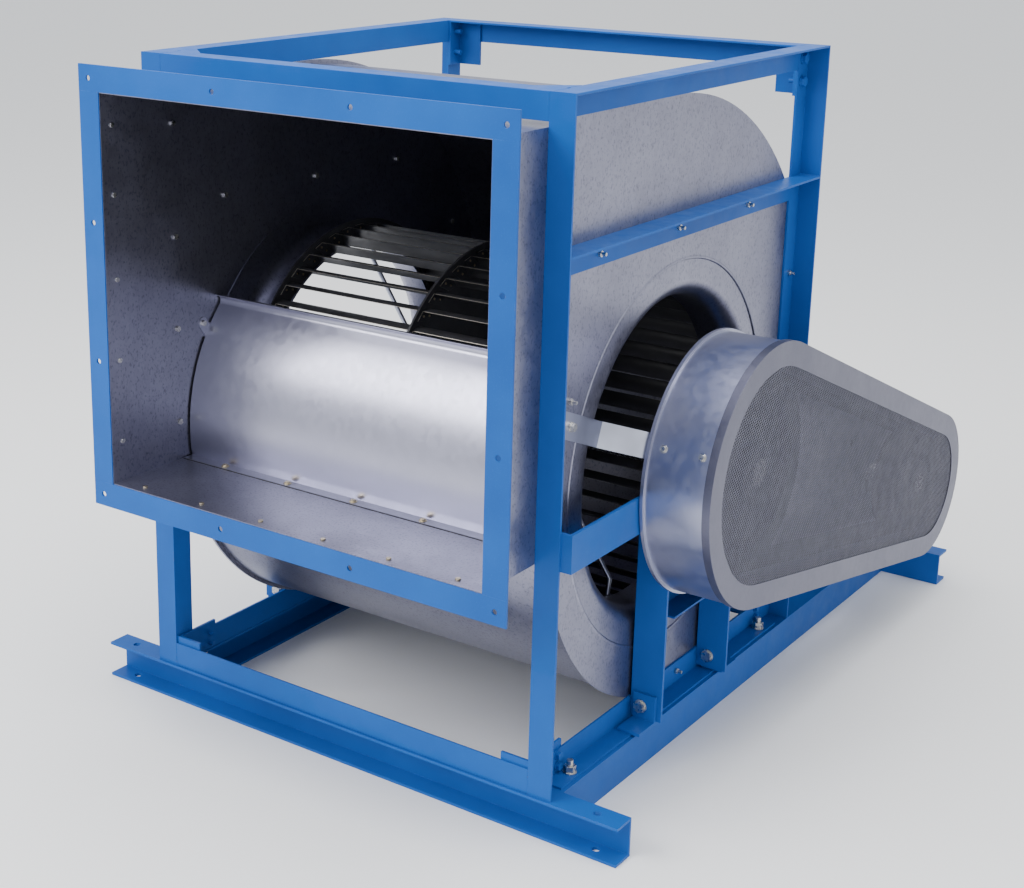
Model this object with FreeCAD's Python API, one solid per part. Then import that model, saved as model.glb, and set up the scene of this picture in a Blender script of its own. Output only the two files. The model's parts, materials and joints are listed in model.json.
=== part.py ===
import FreeCAD, Part
import math
import os

# Double-inlet centrifugal fan in a welded angle frame with a belt drive and a rear motor.
# Millimetres, +Z up.  X runs along the fan shaft (belt drive on +X), the outlet faces -Y,
# and the origin is on the floor in the middle of the four base mounting holes.

V = FreeCAD.Vector

# --- base of cold-formed channels
BASE_LEN = 1134.0
BASE_H = 70.0
BASE_FLANGE = 46.0
BASE_T = 5.0
BASE_WEB_Y = 695.0
BASE_HOLE_X = 517.0
BASE_HOLE_Y = 718.0
BASE_HOLE_R = 7.0
CROSS_Y = 352.0

# --- angle frame
SEAM_X = 394.0
LEG = 45.0
LEG_T = 4.0
OUT_X = SEAM_X + LEG
FRONT_Y = -736.0
REAR_Y = 178.0
TOP_Z = 1223.0
MID_Z = 978.0
SOLE_LEG = 38.0

# --- fan axis and motor axis
SHAFT_Y = -288.0
SHAFT_Z = 541.0
MOTOR_Y = 540.0
MOTOR_Z = 285.0

# --- casing
SHEET = 1.5
DUCT_FRONT_Y = -883.0
DUCT_TOP_Z = 1170.0
DUCT_FLOOR_Z = 477.0
SEAM_LIP = 8.0
CUTOFF_EAR = (-645.0, 724.0)
INLET_HOLE_R = 350.0
THROAT_R = 280.0
SCROLL_ARCS = (
    (-42.0, 42.0, 587.0),
    (51.0, 42.0, 494.0),
    (51.0, 11.0, 463.0),
)

# --- outlet flange
FLANGE_Y = -885.0
FLANGE_HOLES_X = (-417.0, -139.0, 139.0, 417.0)
FLANGE_HOLES_Z = (454.0, 700.0, 946.0, 1192.0)
FLANGE_HOLE_R = 5.0

# --- impeller
WHEEL_R = 330.0
WHEEL_HALF = 314.0
RING_IN_R = 286.0
BLADES = 48
BLADE_R = 320.0
BLADE_LAG = 0.22
SHAFT_R = 25.0
STAY_X = 130.0

# --- bearing supports
BEAM = 65.0
BEAM_T = 6.0
BEAM_X = 394.0
BEAM_Z = 474.0
UPRIGHT_Y = (-400.0, -147.0)
BEARING_X = 425.5

# --- belt drive
GUARD_BACK_X = 463.0
GUARD_FRONT_X = 587.0
GUARD_R1 = 231.0
GUARD_R2 = 150.0
GUARD_T = 1.5
PULLEY_X = 526.0
FAN_PULLEY_R = 180.0
MOTOR_PULLEY_R = 102.0
BELT_PITCH = 19.0
BELT_TOP = 16.0
BELT_LOW = 11.0
BELT_H = 13.0

# --- motor on slide rails
RAIL_X = (98.0, 352.0)
RAIL_TOP_Z = 125.0
RAIL_Y0 = 326.0
RAIL_Y1 = 741.0
FOOT_SPREAD = 127.0
MOTOR_SHAFT_R = 21.0

# --- nodes, and the fasteners whose shanks drill the sheets and angles they pass through
NODES = {}
FASTENERS = ("casing_bolts", "frame_bolts", "bracket_bolts", "bearing_bolts")
DRILLED = (
    "posts_front", "posts_rear", "mid_rails", "sole_angles", "corner_brackets",
    "base_channels_side", "bearing_beams", "uprights", "upright_ties",
    "side_plate_right", "side_plate_left", "cutoff_plate", "guard_strap",
)


# ---------------------------------------------------------------- small helpers
def box(x0, x1, y0, y1, z0, z1):
    return Part.makeBox(x1 - x0, y1 - y0, z1 - z0, V(x0, y0, z0))


def place(axis, a, p, q):
    if axis == "x":
        return V(a, p, q)
    if axis == "y":
        return V(p, a, q)
    return V(p, q, a)


def along(axis, length):
    return {"x": V(length, 0, 0), "y": V(0, length, 0), "z": V(0, 0, length)}[axis]


def prism(axis, points, a, b):
    """Polygon in the plane across `axis`, extruded from a to b."""
    corners = [place(axis, a, p, q) for p, q in points]
    wire = Part.makePolygon(corners + corners[:1])
    return Part.Face(wire).extrude(along(axis, b - a))


def rod(axis, p, q, r, a, b):
    return Part.makeCylinder(r, b - a, place(axis, a, p, q), along(axis, 1.0))


def tube(axis, p, q, r_out, r_in, a, b):
    return rod(axis, p, q, r_out, a, b).cut(rod(axis, p, q, r_in, a - 1.0, b + 1.0))


def hexagon(axis, p, q, flats, a, b):
    r = flats / math.sqrt(3.0)
    angles = [math.radians(60.0 * k + 30.0) for k in range(6)]
    return prism(axis, [(p + r * math.cos(t), q + r * math.sin(t)) for t in angles], a, b)


def fuse(shapes):
    return shapes[0].multiFuse(shapes[1:]).removeSplitter()


def mirrored(shape):
    return shape.mirror(V(0, 0, 0), V(1, 0, 0))


def turned(shape, degrees):
    """Copy of a shape turned about the fan shaft."""
    copy = shape.copy()
    copy.rotate(V(0, SHAFT_Y, SHAFT_Z), V(1, 0, 0), degrees)
    return copy


def both_sides(shapes):
    return shapes + [mirrored(s) for s in shapes]


def save(name, shapes):
    NODES[name] = Part.makeCompound(shapes) if isinstance(shapes, list) else shapes


def save_pair(name, shape):
    save(name + "_right", shape)
    save(name + "_left", mirrored(shape))


def drilled_by(shape, tools):
    solids = []
    for solid in shape.Solids:
        near = [t for t in tools if t.BoundBox.intersect(solid.BoundBox)]
        solids.append(solid.cut(near) if near else solid)
    return Part.makeCompound(solids)


def write_nodes():
    tools = [solid for name in FASTENERS for solid in NODES[name].Solids]
    for name, shape in NODES.items():
        if name in DRILLED:
            shape = drilled_by(shape, tools)
        shape.exportStep(os.path.join("parts", name + ".step"))


def bolt(axis, p, q, head_at, out, thread_r, flats, head_h, reach):
    """Hexagon bolt with washer: head at `head_at`, pointing `out` (+1 or -1), shank the other way."""
    washer = sorted((head_at, head_at + out * 2.0))
    head = sorted((head_at + out * 2.0, head_at + out * (2.0 + head_h)))
    shank = sorted((head_at + out, head_at - out * reach))
    return fuse([
        rod(axis, p, q, flats * 0.66, washer[0], washer[1]),
        hexagon(axis, p, q, flats, head[0], head[1]),
        rod(axis, p, q, thread_r, shank[0], shank[1]),
    ])


# ---------------------------------------------------------------- base
def channel_x(web_y, out):
    """Channel along X whose flanges point to `out` (+1 or -1) in Y."""
    tip = web_y + out * BASE_FLANGE
    y0, y1 = sorted((web_y, tip))
    web = sorted((web_y, web_y + out * BASE_T))
    half = BASE_LEN / 2.0
    shape = fuse([
        box(-half, half, web[0], web[1], 0.0, BASE_H),
        box(-half, half, y0, y1, 0.0, BASE_T),
        box(-half, half, y0, y1, BASE_H - BASE_T, BASE_H),
    ])
    hole_y = math.copysign(BASE_HOLE_Y, out)
    for x in (-BASE_HOLE_X, BASE_HOLE_X):
        shape = shape.cut(rod("z", x, hole_y, BASE_HOLE_R, -1.0, BASE_H + 1.0))
    return shape


def side_channel():
    return fuse([
        box(OUT_X - BASE_T, OUT_X, -BASE_WEB_Y, BASE_WEB_Y, 0.0, BASE_H),
        box(OUT_X - BASE_FLANGE, OUT_X, -BASE_WEB_Y, BASE_WEB_Y, 0.0, BASE_T),
        box(OUT_X - BASE_FLANGE, OUT_X, -BASE_WEB_Y, BASE_WEB_Y, BASE_H - BASE_T, BASE_H),
    ])


def cross_channel():
    x = OUT_X - BASE_FLANGE
    y1 = CROSS_Y + BASE_FLANGE
    return fuse([
        box(-x, x, CROSS_Y, CROSS_Y + BASE_T, 0.0, BASE_H),
        box(-x, x, CROSS_Y, y1, 0.0, BASE_T),
        box(-x, x, CROSS_Y, y1, BASE_H - BASE_T, BASE_H),
    ])


def make_base():
    save("base_channel_front", channel_x(-BASE_WEB_Y, -1))
    save("base_channel_rear", channel_x(BASE_WEB_Y, 1))
    save("base_channel_cross", cross_channel())
    save("base_channels_side", both_sides([side_channel()]))


# ---------------------------------------------------------------- angle frame
def post(corner_y, inward):
    """Corner post: one leg outward along X, the other along Y into the frame."""
    leg_y = sorted((corner_y, corner_y + inward * LEG))
    face_y = sorted((corner_y, corner_y + inward * LEG_T))
    return fuse([
        box(SEAM_X, OUT_X, face_y[0], face_y[1], BASE_H, TOP_Z),
        box(SEAM_X, SEAM_X + LEG_T, leg_y[0], leg_y[1], BASE_H, TOP_Z),
    ])


def side_rail(top_z):
    """Rail along Y between the posts: top leg outward, other leg down along the casing."""
    y0 = FRONT_Y + LEG
    y1 = REAR_Y - LEG
    low = box(SEAM_X, SEAM_X + LEG_T, y0 + 10.0, y1, top_z - LEG, top_z)
    notch = rod("x", y0 + 10.0, top_z - 22.0, 14.0, SEAM_X - 1.0, SEAM_X + LEG_T + 1.0)
    return fuse([
        low.cut(notch),
        box(SEAM_X + LEG_T, OUT_X, FRONT_Y + LEG_T, REAR_Y - LEG_T, top_z - LEG_T, top_z),
    ])


def cross_rail(face_y, inward, z0, flat_low):
    """Rail along X, flush with the frame face, with a flat leg at its top or bottom."""
    face = sorted((face_y, face_y + inward * LEG_T))
    flat = sorted((face_y, face_y + inward * LEG))
    flat_z = z0 if flat_low else z0 + LEG - LEG_T
    return fuse([
        box(-SEAM_X, SEAM_X, face[0], face[1], z0, z0 + LEG),
        box(-SEAM_X, SEAM_X, flat[0], flat[1], flat_z, flat_z + LEG_T),
    ])


def sole_angle():
    """Angle along Y on top of the side channel, upright leg against the casing."""
    y0 = FRONT_Y + LEG
    y1 = REAR_Y - LEG
    return fuse([
        box(SEAM_X, SEAM_X + LEG_T, y0, y1, BASE_H, BASE_H + LEG),
        box(SEAM_X, SEAM_X + SOLE_LEG, y0, y1, BASE_H, BASE_H + LEG_T),
    ])


def corner_bracket(face_y, inward, z0, z1, reach):
    """Bent plate joining a cross rail to the inner face of a post."""
    y_face = sorted((face_y + inward * LEG_T, face_y + inward * (LEG_T + 5.0)))
    y_side = sorted((face_y + inward * LEG_T, face_y + inward * reach))
    return fuse([
        box(338.0, SEAM_X, y_face[0], y_face[1], z0, z1),
        box(SEAM_X - 5.0, SEAM_X, y_side[0], y_side[1], z0, z1),
    ])


def corner_plate():
    """Small flat plate under the front top corner."""
    corners = [(340.0, FRONT_Y + LEG), (SEAM_X, FRONT_Y + LEG), (SEAM_X, FRONT_Y + LEG + 48.0)]
    return prism("z", corners, TOP_Z - 6.0, TOP_Z)


def make_frame():
    save("posts_front", both_sides([post(FRONT_Y, 1)]))
    save("posts_rear", both_sides([post(REAR_Y, -1)]))
    save("top_rails_side", both_sides([side_rail(TOP_Z)]))
    save("mid_rails", both_sides([side_rail(MID_Z)]))
    save("sole_angles", both_sides([sole_angle()]))
    save("top_rails_cross", [
        cross_rail(FRONT_Y, 1, TOP_Z - LEG, False),
        cross_rail(REAR_Y, -1, TOP_Z - LEG, False),
    ])
    save("sole_rails", [
        cross_rail(FRONT_Y, 1, BASE_H, True),
        cross_rail(REAR_Y, -1, BASE_H, True),
    ])
    save("corner_brackets", both_sides([
        corner_plate(),
        corner_bracket(REAR_Y, -1, 1130.0, TOP_Z - LEG_T, LEG),
        corner_bracket(FRONT_Y, 1, BASE_H + LEG_T, 128.0, 104.0),
        corner_bracket(REAR_Y, -1, BASE_H + LEG_T, 128.0, 104.0),
    ]))


# ---------------------------------------------------------------- bearing supports
def bearing_beam():
    """Angle beam between front and rear posts, notched over the shaft, with end plates."""
    y0 = FRONT_Y + LEG_T
    y1 = REAR_Y - LEG_T
    x0 = SEAM_X + LEG_T
    x1 = BEAM_X + BEAM
    beam = fuse([
        box(x0, x1, y0, y1, BEAM_Z, BEAM_Z + BEAM_T),
        box(x1 - BEAM_T, x1, y0, y1, BEAM_Z, BEAM_Z + BEAM),
        box(x0, x1, y0, y0 + 5.0, BEAM_Z, BEAM_Z + BEAM),
        box(x0, x1, y1 - 5.0, y1, BEAM_Z, BEAM_Z + BEAM),
    ])
    notch = box(x1 - 10.0, x1 + 1.0, SHAFT_Y - 38.0, SHAFT_Y + 38.0, BEAM_Z + 26.0, BEAM_Z + BEAM + 1.0)
    return beam.cut(notch)


def upright(y):
    x0 = SEAM_X + LEG_T
    x1 = BEAM_X + BEAM
    return fuse([
        box(x0, x1, y, y + BEAM_T, BASE_H + 10.0, BEAM_Z),
        box(x0, x0 + BEAM_T, y, y + BEAM, BASE_H + 10.0, BEAM_Z),
    ])


def clip(y, out):
    """Short angle welded on the sole angle and bolted to an upright."""
    face = sorted((y, y + out * BEAM_T))
    foot = sorted((y, y + out * 60.0))
    x0 = SEAM_X + 12.0
    z0 = BASE_H + LEG_T
    return fuse([
        box(x0, 450.0, face[0], face[1], z0, z0 + 54.0),
        box(x0, 450.0, foot[0], foot[1], z0, z0 + BEAM_T),
    ])


def brace():
    """Light angle tying the two uprights of one side."""
    x0 = SEAM_X + LEG_T
    y0 = UPRIGHT_Y[0] + BEAM
    y1 = UPRIGHT_Y[1]
    return fuse([
        box(x0, x0 + LEG_T, y0, y1, 252.0, 297.0),
        box(x0, x0 + LEG, y0, y1, 252.0, 256.0),
    ])


def make_supports():
    save("bearing_beams", both_sides([bearing_beam()]))
    save("uprights", both_sides([upright(y) for y in UPRIGHT_Y]))
    save("upright_ties", both_sides([
        brace(),
        clip(UPRIGHT_Y[0], -1),
        clip(UPRIGHT_Y[1] + BEAM_T, 1),
    ]))


# ---------------------------------------------------------------- casing
def scroll_edges(offset, x, start_y):
    """Scroll line from the outlet top round the rear and bottom to the duct floor."""
    edges = []
    first = SCROLL_ARCS[0]
    top = first[1] + first[2] + SHAFT_Z + offset
    edges.append(Part.makeLine(V(x, start_y, top), V(x, first[0] + SHAFT_Y, top)))
    last = math.degrees(math.asin((DUCT_FLOOR_Z - SHAFT_Z - SCROLL_ARCS[2][1]) / SCROLL_ARCS[2][2]))
    spans = ((90.0, 45.0, 0.0), (0.0, -45.0, -90.0), (-90.0, -135.0, -180.0 - last))
    for (cy, cz, r), angles in zip(SCROLL_ARCS, spans):
        points = []
        for a in angles:
            t = math.radians(a)
            y = SHAFT_Y + cy + (r + offset) * math.cos(t)
            z = SHAFT_Z + cz + (r + offset) * math.sin(t)
            points.append(V(x, y, z))
        edges.append(Part.Arc(points[0], points[1], points[2]).toShape())
    return edges


def ends(edges):
    return edges[0].valueAt(edges[0].FirstParameter), edges[-1].valueAt(edges[-1].LastParameter)


def scroll_strip(outer, inner, x0, x1, start_y):
    out = scroll_edges(outer, x0, start_y)
    ins = scroll_edges(inner, x0, start_y)
    out_start, out_end = ends(out)
    in_start, in_end = ends(ins)
    loop = out + [Part.makeLine(out_end, in_end)] + ins + [Part.makeLine(in_start, out_start)]
    return Part.Face(Part.Wire(Part.__sortEdges__(loop))).extrude(V(x1 - x0, 0, 0))


def scroll_disc(offset, x0, x1, start_y):
    out = scroll_edges(offset, x0, start_y)
    start, end = ends(out)
    low = V(x0, start_y, end.z)
    loop = out + [Part.makeLine(end, low), Part.makeLine(low, start)]
    return Part.Face(Part.Wire(Part.__sortEdges__(loop))).extrude(V(x1 - x0, 0, 0))


def side_plate():
    x0 = SEAM_X - SHEET
    plate = fuse([
        scroll_disc(SEAM_LIP, x0, SEAM_X, FRONT_Y + LEG),
        box(x0, SEAM_X, DUCT_FRONT_Y, FRONT_Y + LEG + 20.0, DUCT_FLOOR_Z, DUCT_TOP_Z),
    ])
    return plate.cut(rod("x", SHAFT_Y, SHAFT_Z, INLET_HOLE_R, x0 - 1.0, SEAM_X + 1.0))


def wrapper():
    """Scroll sheet with folded lips that close the lock seams along both side plates."""
    x = SEAM_X - SHEET
    start = FRONT_Y + LEG
    lip = scroll_strip(SEAM_LIP, 0.0, x - 4.0, x, start)
    return fuse([
        scroll_strip(0.0, -SHEET, -x, x, DUCT_FRONT_Y),
        lip,
        mirrored(lip),
    ])


def duct_floor():
    end = ends(scroll_edges(0.0, 0.0, DUCT_FRONT_Y))[1]
    x = SEAM_X - SHEET
    return box(-x, x, DUCT_FRONT_Y, end.y, DUCT_FLOOR_Z, DUCT_FLOOR_Z + SHEET)


def cutoff():
    """Curved tongue plate with a screwed foot, a lip curled outward and an ear on each side wall."""
    cy = -366.0
    cz = 531.6
    r = 323.0
    curl = 13.0
    high = 137.0
    foot_z = DUCT_FLOOR_Z + 2.0 * SHEET
    low = 180.0 - math.degrees(math.asin((foot_z - 0.5 * SHEET - cz) / r))
    x = SEAM_X - 5.0
    wall = SEAM_X - SHEET

    def at(y, z, radius, degrees):
        t = math.radians(degrees)
        return V(0, y + radius * math.cos(t), z + radius * math.sin(t))

    def bent(y, z, r_out, r_in, first, last, x0, x1):
        mid = 0.5 * (first + last)
        out = [at(y, z, r_out, a) for a in (first, mid, last)]
        ins = [at(y, z, r_in, a) for a in (first, mid, last)]
        face = Part.Face(Part.Wire([
            Part.Arc(out[0], out[1], out[2]).toShape(),
            Part.makeLine(out[2], ins[2]),
            Part.Arc(ins[2], ins[1], ins[0]).toShape(),
            Part.makeLine(ins[0], out[0]),
        ]))
        strip = face.extrude(V(x1 - x0, 0, 0))
        strip.translate(V(x0, 0, 0))
        return strip

    centre = at(cy, cz, r - SHEET + curl, high)
    foot_y = at(cy, cz, r, low).y
    plate = [
        bent(cy, cz, r, r - SHEET, low, high, -x, x),
        bent(centre.y, centre.z, curl, curl - SHEET, high + 180.0, high + 328.0, -x, x),
        box(-x, x, foot_y - 22.0, foot_y + 2.0, DUCT_FLOOR_Z + SHEET, foot_z),
    ]
    ear_y, ear_z = CUTOFF_EAR
    root = [at(cy, cz, r - 0.5 * SHEET, a) for a in (144.5, 148.5)]
    ear = [
        rod("x", ear_y, ear_z, 11.0, wall - SHEET, wall),
        prism("x", [
            (root[0].y, root[0].z),
            (ear_y + 7.0, ear_z + 8.5),
            (ear_y - 7.0, ear_z - 8.5),
            (root[1].y, root[1].z),
        ], wall - SHEET, wall),
        bent(cy, cz, r, r - SHEET, 144.0, 149.0, x - 1.0, wall),
    ]
    return fuse(plate + both_sides(ear))


def inlet_cone():
    """Spun inlet: flat rim behind the side plate, rounded mouth and throat."""
    x0 = SEAM_X - SHEET
    bend = 34.0
    outer_r = THROAT_R + bend
    depth = x0 - 46.0

    def point(x, r):
        return V(x, SHAFT_Y, SHAFT_Z + r)

    mouth = [point(x0, outer_r), point(x0 - bend * 0.293, outer_r - bend * 0.707), point(x0 - bend, THROAT_R)]
    skin = [
        point(x0 - SHEET, outer_r),
        point(x0 - SHEET - (bend - SHEET) * 0.293, THROAT_R + SHEET + (bend - SHEET) * 0.293),
        point(x0 - bend, THROAT_R + SHEET),
    ]
    end_in = point(depth - 32.0, THROAT_R)
    end_out = point(depth - 32.0, THROAT_R + SHEET)
    rim_out = point(x0, INLET_HOLE_R + 12.0)
    rim_in = point(x0 - SHEET, INLET_HOLE_R + 12.0)
    face = Part.Face(Part.Wire([
        Part.makeLine(rim_out, mouth[0]),
        Part.Arc(mouth[0], mouth[1], mouth[2]).toShape(),
        Part.makeLine(mouth[2], end_in),
        Part.makeLine(end_in, end_out),
        Part.makeLine(end_out, skin[2]),
        Part.Arc(skin[2], skin[1], skin[0]).toShape(),
        Part.makeLine(skin[0], rim_in),
        Part.makeLine(rim_in, rim_out),
    ]))
    return face.revolve(V(0, SHAFT_Y, SHAFT_Z), V(1, 0, 0), 360.0)


def make_casing():
    save_pair("side_plate", side_plate())
    save_pair("inlet_cone", inlet_cone())
    save("scroll_wrapper", wrapper())
    save("duct_floor", duct_floor())
    save("cutoff_plate", cutoff())


# ---------------------------------------------------------------- outlet flange
def flange_upright():
    y1 = FLANGE_Y + LEG_T
    return fuse([
        box(SEAM_X, OUT_X, FLANGE_Y, y1, DUCT_FLOOR_Z, DUCT_TOP_Z),
        box(SEAM_X, SEAM_X + LEG_T, FLANGE_Y, FLANGE_Y + LEG, DUCT_FLOOR_Z, DUCT_TOP_Z),
    ])


def flange_bar(z_duct, out):
    z_face = sorted((z_duct, z_duct + out * LEG))
    z_leg = sorted((z_duct, z_duct + out * LEG_T))
    return fuse([
        box(-OUT_X, OUT_X, FLANGE_Y, FLANGE_Y + LEG_T, z_face[0], z_face[1]),
        box(-SEAM_X, SEAM_X, FLANGE_Y, FLANGE_Y + LEG, z_leg[0], z_leg[1]),
    ])


def drilled(shape):
    for x in FLANGE_HOLES_X:
        for z in FLANGE_HOLES_Z:
            shape = shape.cut(rod("y", x, z, FLANGE_HOLE_R, FLANGE_Y - 1.0, FLANGE_Y + LEG_T + 1.0))
    return shape


def make_flange():
    save("flange_top", drilled(flange_bar(DUCT_TOP_Z, 1)))
    save("flange_bottom", drilled(flange_bar(DUCT_FLOOR_Z, -1)))
    save("flange_sides", both_sides([drilled(flange_upright())]))


# ---------------------------------------------------------------- impeller
def blade_point(x, radius, degrees):
    t = math.radians(degrees)
    return V(x, SHAFT_Y - radius * math.cos(t), SHAFT_Z + radius * math.sin(t))


def blade_curve(x, lag):
    """Points of the forward-curved profile, from its heel to its tip, turned back by a small angle."""
    return [
        blade_point(x, RING_IN_R + 2.0, lag),
        blade_point(x, 305.0, lag - 1.0),
        blade_point(x, BLADE_R, lag - 4.3),
    ]


def blade_section(x):
    """Forward-curved blade section, closed wire in the YZ plane at x."""
    outer = blade_curve(x, 0.0)
    inner = blade_curve(x, BLADE_LAG)
    return Part.Wire([
        Part.Arc(outer[0], outer[1], outer[2]).toShape(),
        Part.makeLine(outer[2], inner[2]),
        Part.Arc(inner[2], inner[1], inner[0]).toShape(),
        Part.makeLine(inner[0], outer[0]),
    ])


def blade_tab(x0, x1):
    """Folded end tab of a blade, riveted flat on its ring or disc."""
    fold = blade_curve(x0, BLADE_LAG / 2.0)
    far = [blade_point(x0, BLADE_R - 0.5, -8.0), blade_point(x0, 293.0, -4.6)]
    wire = Part.Wire([
        Part.Arc(fold[0], fold[1], fold[2]).toShape(),
        Part.makeLine(fold[2], far[0]),
        Part.makeLine(far[0], far[1]),
        Part.makeLine(far[1], fold[0]),
    ])
    return Part.Face(wire).extrude(V(x1 - x0, 0, 0))


def blade(x0, x1):
    body = Part.Face(blade_section(x0)).extrude(V(x1 - x0, 0, 0))
    return fuse([body, blade_tab(x0, x0 + 1.5), blade_tab(x1 - 1.5, x1)])


def blade_ring(x0, x1):
    first = blade(x0, x1)
    return [turned(first, 360.0 * k / BLADES) for k in range(BLADES)]


def rivet(radius, degrees, x0, x1):
    t = math.radians(degrees)
    y = SHAFT_Y - radius * math.cos(t)
    z = SHAFT_Z + radius * math.sin(t)
    return rod("x", y, z, 2.2, x0, x1)


def tab_rivets():
    rivets = []
    inner = 3.5
    for radius, degrees in ((300.0, -3.1), (313.0, -5.2)):
        rivets.append(rivet(radius, degrees, inner, inner + 1.2))
        rivets.append(rivet(radius, degrees, WHEEL_HALF - 2.7, WHEEL_HALF - 1.5))
    ring = [turned(r, 360.0 * k / BLADES) for r in rivets for k in range(BLADES)]
    return both_sides(ring)


def end_ring():
    return tube("x", SHAFT_Y, SHAFT_Z, WHEEL_R, RING_IN_R, WHEEL_HALF, WHEEL_HALF + 2.0)


def hub():
    return fuse([
        tube("x", SHAFT_Y, SHAFT_Z, 58.0, SHAFT_R, -62.0, 62.0),
        tube("x", SHAFT_Y, SHAFT_Z, 96.0, 50.0, 2.0, 14.0),
        tube("x", SHAFT_Y, SHAFT_Z, 96.0, 50.0, -14.0, -2.0),
    ])


def hub_bolts():
    bolts = []
    for k in range(8):
        t = math.radians(45.0 * k + 22.5)
        y = SHAFT_Y + 77.0 * math.cos(t)
        z = SHAFT_Z + 77.0 * math.sin(t)
        bolts.append(bolt("x", y, z, 14.0, 1, 5.0, 17.0, 6.4, 40.0).cut(
            box(-60.0, -14.0, y - 20.0, y + 20.0, z - 20.0, z + 20.0)))
        bolts.append(rod("x", y, z, 9.0, -22.0, -14.0))
    return bolts


def stay():
    """Stay rod from a shaft collar to the end ring, bent and flattened at its outer end."""
    start = V(STAY_X, SHAFT_Y, SHAFT_Z + 38.0)
    knee = V(WHEEL_HALF - 5.0, SHAFT_Y, SHAFT_Z + RING_IN_R - 36.0)
    tip = V(WHEEL_HALF - 5.0, SHAFT_Y, SHAFT_Z + RING_IN_R - 3.0)
    first = Part.makeCylinder(4.5, (knee - start).Length, start, knee - start)
    second = Part.makeCylinder(4.5, (tip - knee).Length, knee, tip - knee)
    toe = box(WHEEL_HALF - 5.0, WHEEL_HALF, SHAFT_Y - 6.0, SHAFT_Y + 6.0,
              SHAFT_Z + RING_IN_R - 8.0, SHAFT_Z + RING_IN_R + 3.0)
    return fuse([first, Part.makeSphere(4.5, knee), second, toe])


def make_wheel():
    collar = tube("x", SHAFT_Y, SHAFT_Z, 42.0, SHAFT_R, STAY_X - 11.0, STAY_X + 11.0)
    disc = tube("x", SHAFT_Y, SHAFT_Z, WHEEL_R, 50.0, -2.0, 2.0)
    right_stay = turned(stay(), 168.75)
    left_stay = mirrored(turned(stay(), -11.25))
    save("end_rings", both_sides([end_ring()]))
    save("centre_disc", disc)
    save_pair("blades", Part.makeCompound(blade_ring(2.0, WHEEL_HALF)))
    save("wheel_rivets", tab_rivets())
    save("wheel_hub", hub().cut(disc))
    save("hub_bolts", [b.cut(disc).cut(hub()) for b in hub_bolts()])
    save("stay_rods", [
        fuse([collar, right_stay]).cut(rod("x", SHAFT_Y, SHAFT_Z, SHAFT_R, 0.0, WHEEL_HALF)),
        fuse([mirrored(collar), left_stay]).cut(rod("x", SHAFT_Y, SHAFT_Z, SHAFT_R, -WHEEL_HALF, 0.0)),
    ])


# ---------------------------------------------------------------- shaft and bearings
def fan_shaft():
    end = PULLEY_X + 38.0
    shaft = rod("x", SHAFT_Y, SHAFT_Z, SHAFT_R, -474.0, end)
    key = box(PULLEY_X - 28.0, PULLEY_X + 28.0, SHAFT_Y - 6.0, SHAFT_Y + 6.0, SHAFT_Z, SHAFT_Z + 28.0)
    return fuse([shaft, key])


def pillow_block():
    base_z = BEAM_Z + BEAM_T
    half = 23.0
    block = fuse([
        box(BEARING_X - half, BEARING_X + half, SHAFT_Y - 100.0, SHAFT_Y + 100.0, base_z, base_z + 16.0),
        rod("x", SHAFT_Y, SHAFT_Z, 56.0, BEARING_X - 20.0, BEARING_X + 20.0),
        box(BEARING_X - 18.0, BEARING_X + 18.0, SHAFT_Y - 56.0, SHAFT_Y + 56.0, base_z + 10.0, SHAFT_Z - 10.0),
    ])
    block = block.cut(rod("x", SHAFT_Y, SHAFT_Z, 44.0, BEARING_X - 30.0, BEARING_X + 30.0))
    outer = tube("x", SHAFT_Y, SHAFT_Z, 44.0, 36.5, BEARING_X - 12.0, BEARING_X + 12.0)
    nipple = rod("z", BEARING_X, SHAFT_Y, 3.5, SHAFT_Z + 54.0, SHAFT_Z + 64.0)
    return fuse([block, outer, nipple])


def inner_ring():
    ring = tube("x", SHAFT_Y, SHAFT_Z, 36.2, SHAFT_R, BEARING_X - 16.0, BEARING_X + 14.0)
    collar = tube("x", SHAFT_Y, SHAFT_Z, 33.0, SHAFT_R, BEARING_X + 13.0, BEARING_X + 23.0)
    return fuse([ring, collar])


def bearing_bolts():
    bolts = []
    for y in (SHAFT_Y - 80.0, SHAFT_Y + 80.0):
        top = BEAM_Z + BEAM_T + 16.0
        bolts.append(bolt("z", BEARING_X, y, top, 1, 7.0, 22.0, 9.0, 34.0))
        bolts.append(hexagon("z", BEARING_X, y, 22.0, BEAM_Z - 11.0, BEAM_Z).cut(
            rod("z", BEARING_X, y, 7.0, BEAM_Z - 20.0, BEAM_Z)))
    return bolts


def make_bearings():
    save("fan_shaft", fan_shaft())
    holes = [rod("z", BEARING_X, SHAFT_Y + s, 7.0, 470.0, 500.0) for s in (-80.0, 80.0)]
    save("pillow_blocks", both_sides([pillow_block().cut(Part.makeCompound(holes))]))
    save("bearing_rings", both_sides([inner_ring()]))
    save("bearing_bolts", both_sides(bearing_bolts()))


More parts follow.
